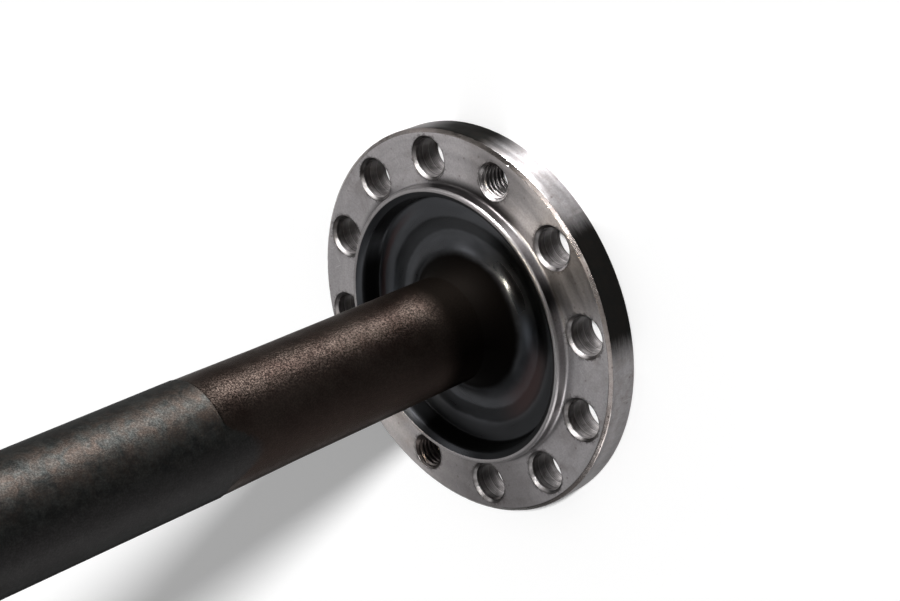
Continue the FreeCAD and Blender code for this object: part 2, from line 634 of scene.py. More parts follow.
class Graph:
    """A node tree that is filled in by short calls."""

    def __init__(self, tree: bpy.types.NodeTree) -> None:
        """Takes the tree to fill."""
        self.tree = tree

    def put(self, socket: Socket, value: object) -> None:
        """Links a socket to another one, or sets its value.

        Args:
            socket: the input.
            value: an output, a number, a colour or a vector.
        """
        if isinstance(value, Socket):
            self.tree.links.new(value, socket)
        elif isinstance(value, tuple) and len(value) == 3 and len(socket.default_value) == 4:
            socket.default_value = (*value, 1.0)
        else:
            socket.default_value = value

    def add(self, kind: str, inputs: dict | None = None, **settings: object) -> bpy.types.Node:
        """Adds a node.

        Args:
            kind: the node's type, without its first word.
            inputs: values or outputs for its inputs, by name or index.
            settings: properties of the node.

        Returns:
            The node.
        """
        node = self.tree.nodes.new("ShaderNode" + kind)
        for name, value in settings.items():
            setattr(node, name, value)
        for key, value in (inputs or {}).items():
            self.put(node.inputs[key], value)
        return node

    def math(self, operation: str, *values: object) -> Socket:
        """Returns the result of a Math node."""
        return self.add("Math", dict(enumerate(values)), operation=operation).outputs[0]

    def plus(self, first: object, second: object) -> Socket:
        """Returns the sum of two numbers."""
        return self.math("ADD", first, second)

    def minus(self, first: object, second: object) -> Socket:
        """Returns the first number less the second."""
        return self.math("SUBTRACT", first, second)

    def times(self, first: object, second: object) -> Socket:
        """Returns the product of two numbers."""
        return self.math("MULTIPLY", first, second)

    def larger(self, first: object, second: object) -> Socket:
        """Returns the larger of two numbers."""
        return self.math("MAXIMUM", first, second)

    def ramp(self, value: object, low: object, high: object, start: object = 0.0,
             end: object = 1.0) -> Socket:
        """Returns a smooth change from start to end as a value goes from low to high."""
        inputs = {"Value": value, "From Min": low, "From Max": high, "To Min": start, "To Max": end}
        return self.add("MapRange", inputs, interpolation_type="SMOOTHSTEP").outputs[0]

    def mix(self, factor: object, first: object, second: object, blend: str = "MIX") -> Socket:
        """Returns a mix of two colours."""
        inputs = {0: factor, 6: first, 7: second}
        return self.add("Mix", inputs, data_type="RGBA", blend_type=blend).outputs[2]

    def shade(self, colour: object, level: Socket) -> Socket:
        """Returns a colour that is darkened or brightened, where a level of 1 leaves it as it is."""
        return self.mix(1.0, colour, self.vector(level, level, level), blend="MULTIPLY")

    def blend(self, factor: object, first: object, second: object) -> Socket:
        """Returns a mix of two numbers."""
        return self.add("Mix", {0: factor, 2: first, 3: second}).outputs[0]

    def vector(self, x: object, y: object, z: object) -> Socket:
        """Returns a vector of three numbers."""
        return self.add("CombineXYZ", {0: x, 1: y, 2: z}).outputs[0]

    def length(self, vector: Socket) -> Socket:
        """Returns a vector's length."""
        return self.add("VectorMath", {0: vector}, operation="LENGTH").outputs["Value"]

    def split(self, vector: Socket) -> Outputs:
        """Returns a vector's three numbers."""
        return self.add("SeparateXYZ", {0: vector}).outputs

    def place(self) -> Socket:
        """Returns the point on the surface in the shaft's own frame."""
        return self.add("TexCoord").outputs["Object"]

    def noise(self, vector: Socket, scale: object = 1.0, detail: float = 2.0, roughness: float = 0.5,
              distortion: float = 0.0) -> Socket:
        """Returns the value of a Noise node, about 0.5 on average."""
        inputs = {"Vector": vector, "Scale": scale, "Detail": detail, "Roughness": roughness,
                  "Distortion": distortion}
        return self.add("TexNoise", inputs).outputs[0]


class Effect:
    """A shared effect: a node group with named inputs and outputs, built once."""

    name: str = "effect"
    inputs: dict[str, float] = {}
    outputs: tuple[str, ...] = ("Mask",)
    built: dict[str, bpy.types.NodeTree] = {}

    @classmethod
    def use(cls, graph: Graph, **inputs: object) -> Outputs:
        """Places the effect in a tree, with underscores in its inputs' names read as spaces."""
        named = {name.replace("_", " "): value for name, value in inputs.items()}
        return graph.add("Group", named, node_tree=cls.tree()).outputs

    @classmethod
    def tree(cls) -> bpy.types.NodeTree:
        """Builds the effect's node group at the first call, and finds it again at every other.

        Returns:
            The node group.
        """
        if cls.name in Effect.built:
            return Effect.built[cls.name]
        group = bpy.data.node_groups.new(cls.name, "ShaderNodeTree")
        for name, value in cls.inputs.items():
            socket = group.interface.new_socket(name, in_out="INPUT", socket_type="NodeSocketFloat")
            socket.default_value = value
        for name in cls.outputs:
            group.interface.new_socket(name, in_out="OUTPUT", socket_type="NodeSocketFloat")
        graph = Graph(group)
        given = group.nodes.new("NodeGroupInput").outputs
        result = group.nodes.new("NodeGroupOutput").inputs
        for name, value in cls.make(graph, given).items():
            graph.put(result[name], value)
        Effect.built[cls.name] = group
        return group

    @classmethod
    def make(cls, graph: Graph, given: Outputs) -> dict:
        """Fills the group.

        Args:
            graph: the group's node tree.
            given: the group's inputs.

        Returns:
            The group's results by the names of its outputs.
        """
        raise NotImplementedError


class PolarPlace(Effect):
    """Where a point lies about the shaft's axis, and how far it is from the nearest hole's axis."""

    name = "polar_place"
    inputs = {"Bolt Circle": 68.0 * MM, "Hole Count": 12.0}
    outputs = ("Radius", "Height", "Cosine", "Sine", "Angle", "Hole Distance")

    # Least radius that x and y are divided by, so that the axis itself has a cosine and a sine
    nearest_r: float = 0.001 * MM

    @classmethod
    def make(cls, graph: Graph, given: Outputs) -> dict:
        """Folds the angle into one hole's share of the circle to reach the nearest hole.

        Args:
            graph: the group's node tree.
            given: the group's inputs.

        Returns:
            The group's results by the names of its outputs.
        """
        x, y, height = graph.split(graph.place())
        radius = graph.length(graph.vector(x, y, 0.0))
        safe = graph.larger(radius, cls.nearest_r)
        angle = graph.math("ARCTAN2", y, x)
        half_step = graph.math("DIVIDE", math.pi, given["Hole Count"])
        folded = graph.math("WRAP", angle, half_step, graph.times(half_step, -1.0))
        across = graph.times(radius, graph.math("SINE", folded))
        along = graph.minus(graph.times(radius, graph.math("COSINE", folded)), given["Bolt Circle"])
        return {"Radius": radius, "Height": height, "Angle": angle,
                "Cosine": graph.math("DIVIDE", x, safe),
                "Sine": graph.math("DIVIDE", y, safe),
                "Hole Distance": graph.length(graph.vector(across, along, 0.0))}


class TurningMarks(Effect):
    """Fine circular marks that a lathe tool leaves, with broader bands of tone between them."""

    name = "turning_marks"
    inputs = {"Marks Per Metre": 1800.0, "Swing": 1.5, "Band Scale": 0.12}
    outputs = ("Height", "Tone")

    @classmethod
    def make(cls, graph: Graph, given: Outputs) -> dict:
        """Draws noise that changes fast outwards and upwards, and slowly round the axis.

        Args:
            graph: the group's node tree.
            given: the group's inputs.

        Returns:
            The group's results by the names of its outputs.
        """
        polar = PolarPlace.use(graph)
        across = graph.times(graph.plus(polar["Radius"], polar["Height"]), given["Marks Per Metre"])
        round_x = graph.times(polar["Cosine"], given["Swing"])
        round_y = graph.times(polar["Sine"], given["Swing"])
        wide = graph.times(across, given["Band Scale"])
        fine = graph.noise(graph.vector(across, round_x, round_y), detail=3.0, roughness=0.6)
        return {"Height": fine, "Tone": graph.noise(graph.vector(wide, round_x, round_y))}


class Blotches(Effect):
    """Uneven patches, such as stains, rust or worn places."""

    name = "blotches"
    inputs = {"Scale": 60.0, "Amount": 0.5, "Softness": 0.1, "Seed": 0.0}

    # The noise at a patch's edge when the amount is nothing, and how far that drops when it is 1
    bare_level: float = 0.78
    level_drop: float = 0.56

    @classmethod
    def make(cls, graph: Graph, given: Outputs) -> dict:
        """Cuts noise off at a level that drops as the amount grows.

        Args:
            graph: the group's node tree.
            given: the group's inputs.

        Returns:
            The group's results by the names of its outputs.
        """
        x, y, z = graph.split(graph.place())
        value = graph.noise(graph.vector(x, y, graph.plus(z, given["Seed"])), given["Scale"],
                            detail=7.0, roughness=0.62, distortion=0.6)
        level = graph.minus(cls.bare_level, graph.times(given["Amount"], cls.level_drop))
        return {"Mask": graph.ramp(value, graph.minus(level, given["Softness"]),
                                   graph.plus(level, given["Softness"]))}


class Sector(Effect):
    """A stretch of the circle round the shaft's axis, with ragged ends."""

    name = "sector"
    inputs = {"Middle": 0.0, "Half Width": 0.3, "Softness": 0.1, "Raggedness": 0.3}

    # How closely the streaks follow each other, round the axis and along it
    streaks_round: float = 9.0
    streaks_per_metre: float = 900.0

    @classmethod
    def make(cls, graph: Graph, given: Outputs) -> dict:
        """Shifts the ends by streaks that run round the axis.

        Args:
            graph: the group's node tree.
            given: the group's inputs.

        Returns:
            The group's results by the names of its outputs.
        """
        polar = PolarPlace.use(graph)
        off = graph.math("WRAP", graph.minus(polar["Angle"], given["Middle"]), math.pi, -math.pi)
        streaks = graph.vector(graph.times(polar["Cosine"], cls.streaks_round),
                               graph.times(polar["Sine"], cls.streaks_round),
                               graph.times(polar["Height"], cls.streaks_per_metre))
        ragged = graph.minus(graph.noise(streaks, detail=4.0, roughness=0.6), 0.5)
        away = graph.plus(graph.math("ABSOLUTE", off), graph.times(ragged, given["Raggedness"]))
        return {"Mask": graph.ramp(away, graph.plus(given["Half Width"], given["Softness"]),
                                   graph.minus(given["Half Width"], given["Softness"]))}


class Specks(Effect):
    """Scattered small pits or grains."""

    name = "specks"
    inputs = {"Scale": 900.0, "Size": 0.35, "Share": 0.3}

    @classmethod
    def make(cls, graph: Graph, given: Outputs) -> dict:
        """Keeps the middles of some of the cells of a Voronoi pattern.

        Args:
            graph: the group's node tree.
            given: the group's inputs.

        Returns:
            The group's results by the names of its outputs.
        """
        cells = graph.add("TexVoronoi", {"Vector": graph.place(), "Scale": given["Scale"]}).outputs
        chosen = graph.add("SeparateColor", {0: cells["Color"]}).outputs[0]
        kept = graph.math("LESS_THAN", chosen, given["Share"])
        return {"Mask": graph.times(graph.ramp(cells["Distance"], given["Size"], 0.0), kept)}


class Scratches(Effect):
    """Thin straight scratches that all run about the same way."""

    name = "scratches"
    inputs = {"Direction": 0.0, "Fineness": 1500.0, "Share": 0.3}

    # How fast the noise changes along a scratch, and how fast the noise of the patches changes
    length_scale: float = 28.0
    patch_scale: float = 90.0

    # The noise at a scratch's edge and along its middle, and the noise in the middle of a patch
    line_levels: tuple[float, float] = (0.66, 0.74)
    patch_level: float = 0.72

    @classmethod
    def make(cls, graph: Graph, given: Outputs) -> dict:
        """Keeps the crests of noise that is drawn out along the scratches, in scattered patches.

        Args:
            graph: the group's node tree.
            given: the group's inputs.

        Returns:
            The group's results by the names of its outputs.
        """
        turned = graph.add("VectorRotate", {"Vector": graph.place(), "Angle": given["Direction"]},
                           rotation_type="Z_AXIS").outputs[0]
        x, y, _ = graph.split(turned)
        drawn_out = graph.vector(graph.times(x, cls.length_scale), graph.times(y, given["Fineness"]), 0.0)
        lines = graph.ramp(graph.noise(drawn_out, detail=1.0), *cls.line_levels)
        kept = graph.ramp(graph.noise(turned, cls.patch_scale),
                          graph.minus(cls.patch_level, given["Share"]), cls.patch_level)
        return {"Mask": graph.times(lines, kept)}


class HoleSmudge(Effect):
    """Dark grime that gathers round the mouths of the holes, ragged outwards."""

    name = "hole_smudge"
    inputs = {"Mouth": 9.0 * MM, "Jack Mouth": 7.8 * MM, "Reach": 1.3 * MM}

    # The jacking holes lie where the angle's cosine is smaller than this
    jack_cosine: float = 0.2

    @classmethod
    def make(cls, graph: Graph, given: Outputs) -> dict:
        """Fades the grime over a reach that noise makes longer and shorter.

        Args:
            graph: the group's node tree.
            given: the group's inputs.

        Returns:
            The group's results by the names of its outputs.
        """
        polar = PolarPlace.use(graph)
        on_jack = graph.math("LESS_THAN", graph.math("ABSOLUTE", polar["Cosine"]), cls.jack_cosine)
        mouth = graph.blend(on_jack, given["Mouth"], given["Jack Mouth"])
        ragged = graph.noise(graph.place(), scale=620.0, detail=6.0, roughness=0.75)
        reach = graph.times(given["Reach"], graph.ramp(ragged, low=0.38, high=0.66, start=0.05, end=1.9))
        return {"Mask": graph.ramp(polar["Hole Distance"], graph.plus(mouth, reach), mouth)}


class ForgedGrain(Effect):
    """The pebbled skin that forging and scale leave."""

    name = "forged_grain"
    inputs = {"Scale": 700.0}
    outputs = ("Height", "Mottle")

    # The coarse noise's share of the height, and the scales of it and of the broad patches, where the
    # fine noise's own is 1
    coarse_share: float = 0.35
    coarse_scale: float = 0.22
    mottle_scale: float = 0.07

    @classmethod
    def make(cls, graph: Graph, given: Outputs) -> dict:
        """Adds coarse noise to fine noise, and draws broad patches of tone beside them.

        Args:
            graph: the group's node tree.
            given: the group's inputs.

        Returns:
            The group's results by the names of its outputs.
        """
        place = graph.place()
        fine = graph.noise(place, given["Scale"], detail=4.0, roughness=0.65)
        coarse = graph.noise(place, graph.times(given["Scale"], cls.coarse_scale), detail=3.0)
        mottle_scale = graph.times(given["Scale"], cls.mottle_scale)
        return {"Height": graph.blend(cls.coarse_share, fine, coarse),
                "Mottle": graph.noise(place, mottle_scale, detail=5.0, roughness=0.6)}


@dataclass(frozen=True)
class Ramp:
    """A smooth change that follows a value.

    Args:
        low: the value at which the change starts.
        high: the value at which it ends.
        start: what it starts from.
        end: what it comes to.
    """

    low: float
    high: float
    start: float = 0.0
    end: float = 1.0

    def of(self, graph: Graph, value: object) -> Socket:
        """Returns the change for a value in a node tree."""
        return graph.ramp(value, self.low, self.high, self.start, self.end)


@dataclass(frozen=True)
class Film:
    """A colour that lies over another.

    Args:
        colour: the colour.
        cover: how much it hides, from 0 to 1.
    """

    colour: Colour
    cover: float

    def over(self, graph: Graph, under: object, mask: Socket) -> Socket:
        """Returns a colour with the film over it where a mask says."""
        return graph.mix(graph.times(mask, self.cover), under, self.colour)


@dataclass(frozen=True)
class Patch:
    """A stretch of the circle round the shaft.

    Args:
        middle: degrees round from +X.
        half_width: degrees to either side.
        softness: degrees over which it fades.
        raggedness: how far its ends wander, in radians.
    """

    middle: float
    half_width: float
    softness: float
    raggedness: float = 0.08

    def mask(self, graph: Graph) -> Socket:
        """Returns where the stretch is, in a node tree."""
        return Sector.use(graph, Middle=math.radians(self.middle), Half_Width=math.radians(self.half_width),
                          Softness=math.radians(self.softness), Raggedness=self.raggedness)["Mask"]

    @staticmethod
    def any_of(graph: Graph, patches: tuple["Patch", ...]) -> Socket:
        """Returns where any of several stretches is, in a node tree."""
        return reduce(graph.larger, [patch.mask(graph) for patch in patches])


@dataclass(frozen=True)
class Ring:
    """A ring about the shaft's axis.

    Args:
        inner: inner radius, in millimetres.
        outer: outer radius, in millimetres.
        fade: how far each edge fades to either side, in millimetres.
        side: the stretch of the ring that counts, or nothing for all of it.
        strength: how strong it is, from 0 to 1.
    """

    inner: float
    outer: float
    fade: float
    side: Patch | None = None
    strength: float = 1.0

    def mask(self, graph: Graph, radius: Socket) -> Socket:
        """Fades the ring in and out again.

        Args:
            graph: the material's node tree.
            radius: distance from the axis.

        Returns:
            Where the ring is, and how strong.
        """
        rising = graph.ramp(radius, (self.inner - self.fade) * MM, (self.inner + self.fade) * MM)
        falling = graph.ramp(radius, (self.outer + self.fade) * MM, (self.outer - self.fade) * MM)
        mask = graph.times(rising, falling)
        if self.side:
            mask = graph.times(mask, self.side.mask(graph))
        return graph.times(mask, self.strength)


@dataclass(frozen=True)
class Finish:
    """What every finish has.

    Args:
        name: the material's name.
        sheen_turn: how strongly turning marks stretch the highlights, from 0 to 1.
        specular: reflection of what isn't bare metal.
        tint: colour of that reflection.
    """

    name: str
    sheen_turn: float = 0.0
    specular: float = 0.5
    tint: Colour = WHITE

    def material(self) -> bpy.types.Material:
        """Builds the finish.

        Returns:
            Its material.
        """
        material = bpy.data.materials.new(self.name)
        material.use_nodes = True
        graph = Graph(material.node_tree)
        values = {"Anisotropic": self.sheen_turn, "Specular IOR Level": self.specular,
                  "Specular Tint": self.tint, **self.paint(graph)}
        if self.sheen_turn:
            values["Anisotropic Rotation"] = QUARTER_TURN
            values["Tangent"] = graph.add("Tangent", direction_type="RADIAL", axis="Z").outputs[0]
        shader = material.node_tree.nodes["Principled BSDF"]
        for name, value in values.items():
            graph.put(shader.inputs[name], value)
        return material

    def paint(self, graph: Graph) -> dict:
        """Makes what feeds the shader.

        Args:
            graph: the material's node tree.

        Returns:
            Values or outputs by the names of the shader's inputs.
        """
        raise NotImplementedError

    @staticmethod
    def bump(graph: Graph, height: Socket, depth: float) -> Socket:
        """Returns a normal that a height from 0 to 1 roughens, to a depth in metres."""
        return graph.add("Bump", {"Height": height, "Distance": depth, "Strength": 1.0}).outputs[0]


@dataclass(frozen=True)
class TurnedSteel(Finish):
    """Bare steel off the lathe, satin, with light staining, nicks and scratches."""

    # The clean metal, what has dried on it and where a scratch has bared it
    metal: Colour = (0.42, 0.40, 0.41)
    stain: Film = Film((0.10, 0.08, 0.075), 0.4)
    nick: Film = Film((0.10, 0.08, 0.075), 0.75)
    scratch: Film = Film((0.62, 0.6, 0.6), 0.35)

    # Shares of the surface that are stained and nicked, and a nick's depth beside a turning mark's
    stained: float = 0.3
    nicked: float = 0.16
    nick_depth: float = 2.5

    # How the broad turning marks and the finest grain darken and brighten the metal
    tone: Ramp = Ramp(0.3, 0.7, 0.86, 1.08)
    grit: Ramp = Ramp(0.2, 0.8, 0.88, 1.12)

    # Roughness, what the marks take from it and add to it, what a stain adds, and the marks' depth
    roughness: float = 0.36
    smoother: float = 0.05
    coarser: float = 0.08
    dried: float = 0.1
    relief: float = 0.008 * MM

    def paint(self, graph: Graph) -> dict:
        """Lays marks, scratches, stains and nicks on the metal.

        Args:
            graph: the material's node tree.

        Returns:
            Values or outputs by the names of the shader's inputs.
        """
        marks = TurningMarks.use(graph)
        soiled = Blotches.use(graph, Scale=70.0, Amount=self.stained, Softness=0.14)["Mask"]
        nicked = Specks.use(graph, Scale=430.0, Size=0.34, Share=self.nicked)["Mask"]
        scratched = graph.larger(Scratches.use(graph, Direction=0.6, Share=0.25)["Mask"],
                                 Scratches.use(graph, Direction=2.3, Share=0.2)["Mask"])
        gritty = self.grit.of(graph, graph.noise(graph.place(), scale=1500.0))
        colour = graph.shade(self.metal, graph.times(self.tone.of(graph, marks["Tone"]), gritty))
        colour = self.scratch.over(graph, colour, scratched)
        colour = self.stain.over(graph, colour, soiled)
        colour = self.nick.over(graph, colour, nicked)
        rough = graph.ramp(marks["Tone"], low=0.25, high=0.75, start=self.roughness - self.smoother,
                           end=self.roughness + self.coarser)
        rough = graph.plus(rough, graph.times(soiled, self.dried))
        pitted = graph.plus(graph.times(nicked, self.nick_depth), scratched)
        height = graph.minus(marks["Height"], pitted)
        return {"Base Color": colour, "Metallic": 1.0, "Roughness": rough,
                "Normal": self.bump(graph, height, self.relief)}


@dataclass(frozen=True)
class BoltingFace(TurnedSteel):
    """The bolting face and the ring's outer wall, with grime round the holes and painted shade in their
    corner.
    """

    # Grime round the holes, painted shade on stretches round the face, and the thick painted shade in the
    # corner by the ring
    smudge: Film = Film((0.05, 0.045, 0.045), 0.85)
    face_shade: Film = Film((0.05, 0.045, 0.045), 0.6)
    corner: Colour = (0.008, 0.007, 0.007)

    # How the painted shade in the corner grows towards the ring, the stretches that have it, and the
    # stretches of face with painted shade
    towards_ring: Ramp = Ramp(63.0 * MM, 58.0 * MM, 0.0, 0.93)
    patches: tuple[Patch, ...] = (
        Patch(279.0, 24.0, 6.0),
        Patch(226.0, 6.0, 5.0),
        Patch(345.0, 22.0, 10.0),
    )
    face_shade_stretches: tuple[Patch, ...] = (
        Patch(227.0, 10.0, 6.0),
        Patch(268.0, 12.0, 8.0),
        Patch(120.0, 22.0, 15.0),
    )

    def paint(self, graph: Graph) -> dict:
        """Adds grime round the holes and painted shade to the turned steel.

        Args:
            graph: the material's node tree.

        Returns:
            Values or outputs by the names of the shader's inputs.
        """
        result = super().paint(graph)
        colour = self.smudge.over(graph, result["Base Color"], HoleSmudge.use(graph)["Mask"])
        # Painted shade: stretches of the face darkened where it reflects dark things
        colour = self.face_shade.over(graph, colour, Patch.any_of(graph, self.face_shade_stretches))
        # Painted shade: the face and the ring's outer wall darken into their corner on chosen stretches
        near_ring = self.towards_ring.of(graph, PolarPlace.use(graph)["Radius"])
        corner_shaded = graph.times(Patch.any_of(graph, self.patches), near_ring)
        result["Base Color"] = graph.mix(corner_shaded, colour, self.corner)
        return result


@dataclass(frozen=True)
class RimSteel(TurnedSteel):
    """The rim and its bevel: turned steel with painted shade on stretches round it and spots of rust."""

    # The painted shade and the rust, how much the rust hides from bright metal to painted shade, and the
    # stretches with painted shade
    painted_shade_film: Film = Film((0.006, 0.006, 0.0055), 0.985)
    rust: Colour = (0.060, 0.034, 0.022)
    rusted: Ramp = Ramp(0.0, 1.0, 0.3, 0.05)
    patches: tuple[Patch, ...] = (
        Patch(224.0, 19.0, 5.0),
        Patch(286.5, 14.5, 8.0),
        Patch(120.0, 26.0, 12.0),
        Patch(30.0, 34.0, 14.0),
    )

    def paint(self, graph: Graph) -> dict:
        """Paints shade on stretches of the turned steel and rusts it.

        Args:
            graph: the material's node tree.

        Returns:
            Values or outputs by the names of the shader's inputs.
        """
        result = super().paint(graph)
        # Painted shade: stretches of the rim darkened where it reflects dark things
        dark = Patch.any_of(graph, self.patches)
        rusty = Blotches.use(graph, Scale=250.0, Amount=0.42, Softness=0.2, Seed=9.0)["Mask"]
        rusty = graph.times(rusty, self.rusted.of(graph, dark))
        colour = self.painted_shade_film.over(graph, result["Base Color"], dark)
        result["Base Color"] = graph.mix(rusty, colour, self.rust)
        return result


@dataclass(frozen=True)
class DishSteel(Finish):
    """The dish: dark turned steel with painted shade in a ring and on one side, giving way to scale up the
    fillet.
    """

    # The turned floor, its brown film and rust, the forging scale and the painted shade, a matt black
    # stretch
    metal: Colour = (0.031, 0.032, 0.035)
    brown: Colour = (0.031, 0.013, 0.012)
    scale: Colour = (0.0027, 0.0022, 0.0019)
    shade_black: Colour = (0.0008, 0.0008, 0.0008)

    # How far the rings' edges wander, and how the scale sets in towards the shaft
    ragged: float = 2.5 * MM
    scale_edge: Ramp = Ramp(30.8 * MM, 27.2 * MM)

    # The ring of the bowl with painted shade, the side of the dish with painted shade, and how that shade
    # spreads over the floor outwards
    shade_ring: Ring = Ring(37.6, 43.2, 0.7)
    dish_shade_side: Patch = Patch(143.0, 58.0, 14.0)
    shaded_floor_ramp: Ramp = Ramp(41.0 * MM, 46.0 * MM)

    # The bowl's film, the rust by the wall, the painted shade on the wall and the polished foot of the
    # fillet
    filmed: Ring = Ring(33.0, 43.0, 2.0, side=Patch(168.0, 24.0, 16.0), strength=0.5)
    rusty: Ring = Ring(47.6, 50.1, 0.8, side=Patch(18.0, 44.0, 20.0), strength=0.6)
    wall_shade: Ring = Ring(51.05, 53.5, 0.5, side=Patch(98.0, 103.0, 12.0), strength=0.96)
    polished: Ring = Ring(29.5, 34.5, 1.0, side=Patch(240.0, 17.0, 12.0))

    # How bright the metal is over the turning marks, off the ring of painted shade and in it, and how much
    # the painted shade on one side of the dish darkens that ring and the floor
    tone: Ramp = Ramp(0.3, 0.7, 0.75, 1.2)
    unshaded_level: float = 1.05
    shade_ring_level: float = 0.46
    shade_side_level: float = 0.7
    floor_shade_level: float = 0.38

    # Roughness over the turning marks and elsewhere, and the depths of the marks and of the scale's grain
    roughness: Ramp = Ramp(0.25, 0.75, 0.26, 0.36)
    polished_roughness: float = 0.15
    wall_shade_roughness: float = 0.8
    scale_roughness: float = 0.85
    marks_share: float = 0.2
    relief: float = 0.03 * MM

    def paint(self, graph: Graph) -> dict:
        """Paints shade on the turned steel, and films, rusts and scales it.

        Args:
            graph: the material's node tree.

        Returns:
            Values or outputs by the names of the shader's inputs.
        """
        radius = PolarPlace.use(graph)["Radius"]
        marks = TurningMarks.use(graph, Marks_Per_Metre=1300.0, Swing=2.0)
        grain = ForgedGrain.use(graph, Scale=900.0)
        wandering = graph.plus(radius, graph.times(graph.minus(grain["Mottle"], 0.5), self.ragged))
        scaled = self.scale_edge.of(graph, wandering)
        # Painted shade: the dish's wall turned black on the stretch that lies in shadow
        shaded = self.wall_shade.mask(graph, radius)
        # Painted shade: a ring of the bowl and one side of the dish darkened where they reflect dark things
        # or lie in shade
        level = graph.times(self.tone.of(graph, marks["Tone"]), self.painted_shade_level(graph, wandering, radius))
        colour = graph.shade(self.metal, level)
        film = graph.larger(self.rusty.mask(graph, wandering), self.filmed.mask(graph, wandering))
        colour = graph.mix(film, colour, self.brown)
        colour = graph.mix(scaled, colour, self.scale)
        colour = graph.mix(shaded, colour, self.shade_black)
        rough = self.roughness.of(graph, marks["Tone"])
        rough = graph.blend(self.polished.mask(graph, radius), rough, self.polished_roughness)
        rough = graph.blend(shaded, rough, self.wall_shade_roughness)
        height = graph.blend(scaled, graph.times(marks["Height"], self.marks_share), grain["Height"])
        return {"Base Color": colour, "Metallic": 1.0,
                "Roughness": graph.blend(scaled, rough, self.scale_roughness),
                "Normal": self.bump(graph, height, self.relief)}

    def painted_shade_level(self, graph: Graph, wandering: Socket, radius: Socket) -> Socket:
        """Paints shade on the metal in a ring of the bowl and on one side of the dish.

        Args:
            graph: the material's node tree.
            wandering: distance from the axis, made ragged.
            radius: the same distance as it is.

        Returns:
            How bright the metal is, where 1 leaves it as it is.
        """
        in_shade_ring = self.shade_ring.mask(graph, wandering)
        side = self.dish_shade_side.mask(graph)
        on_floor = graph.times(side, self.shaded_floor_ramp.of(graph, radius))
        level = graph.blend(in_shade_ring, self.unshaded_level, self.shade_ring_level)
        level = graph.times(level, graph.blend(on_floor, 1.0, self.floor_shade_level))
        return graph.times(level, graph.blend(graph.times(side, in_shade_ring), 1.0, self.shade_side_level))


@dataclass(frozen=True)
class HardenedBar(Finish):
    """The bar beyond the step: smoother, grey-green, with a mottled rust bloom and painted glints on its
    lit side.
    """

    # The dark and light patches, the rust and the painted light on one side
    dark: Colour = (0.0092, 0.0100, 0.0098)
    light: Colour = (0.0180, 0.0190, 0.0182)
    bloom: Colour = (0.023, 0.0172, 0.0143)
    bar_side_light: Film = Film((0.031, 0.0295, 0.0297), 0.75)

    # The sides with the most rust and the highlight, with painted light, with matt dirt and with painted
    # glints
    rust_and_highlight_side: Patch = Patch(264.0, 28.648, 25.783, raggedness=0.5)
    painted_light_side: Patch = Patch(186.0, 24.0, 15.0)
    matt_side: Patch = Patch(108.0, 52.0, 9.0)
    glint_side: Patch = Patch(262.0, 19.0, 13.0)

    # How dark patches turn to light ones, how the rust grows on the side of the highlight, and how the matt
    # dirt grows on its side
    clouds: Ramp = Ramp(0.4, 0.6)
    rusted: Ramp = Ramp(0.0, 1.0, 0.12, 0.85)
    metallic: Ramp = Ramp(0.0, 1.0, 1.0, 0.3)

    # How much the grains vary off the side with painted glints and on it
    calm_grains: Ramp = Ramp(0.36, 0.70, 0.84, 1.2)
    bar_glint_grains: Ramp = Ramp(0.38, 0.70, 0.72, 1.4)

    # Roughness from dark patches to light ones, and the grain's depth
    bar_roughness: Ramp = Ramp(0.3, 0.7, 0.62, 0.70)
    bar_relief: float = 0.07 * MM

    def paint(self, graph: Graph) -> dict:
        """Mottles and rusts the bar's skin, and paints light and glints on it.

        Args:
            graph: the material's node tree.

        Returns:
            Values or outputs by the names of the shader's inputs.
        """
        grain = ForgedGrain.use(graph, Scale=1700.0)
        rusty = Blotches.use(graph, Scale=170.0, Softness=0.2, Seed=2.0)["Mask"]
        # Rust placed mostly where the highlight falls, so this mottling is partly a painted highlight
        rusty = graph.times(rusty, self.rusted.of(graph, self.rust_and_highlight_side.mask(graph)))
        cloudy = graph.noise(graph.place(), scale=420.0, detail=3.0, roughness=0.6)
        cloudy = self.clouds.of(graph, graph.blend(0.5, cloudy, grain["Mottle"]))
        colour = graph.mix(rusty, graph.mix(cloudy, self.dark, self.light), self.bloom)
        # Painted light: a paler stretch on the side that the light fills
        colour = self.bar_side_light.over(graph, colour, self.painted_light_side.mask(graph))
        # Painted glints: grain contrast raised on the side where the highlight falls
        return {"Base Color": self.grains_and_glints(graph, colour, self.bar_glint_grains),
                "Metallic": self.metallic.of(graph, self.matt_side.mask(graph)),
                "Roughness": self.bar_roughness.of(graph, grain["Mottle"]),
                "Normal": self.bump(graph, grain["Height"], self.bar_relief)}

    def grains_and_glints(self, graph: Graph, colour: Socket, glint_grains: Ramp) -> Socket:
        """Varies a colour from grain to grain, with painted glints on the side where the highlight falls.

        Args:
            graph: the material's node tree.
            colour: the colour.
            glint_grains: how much the grains vary on that side.

        Returns:
            The colour with its grains.
        """
        grains = graph.noise(graph.place(), scale=1500.0, roughness=0.6)
        level = graph.blend(self.glint_side.mask(graph), self.calm_grains.of(graph, grains),
                            glint_grains.of(graph, grains))
        return graph.shade(colour, level)


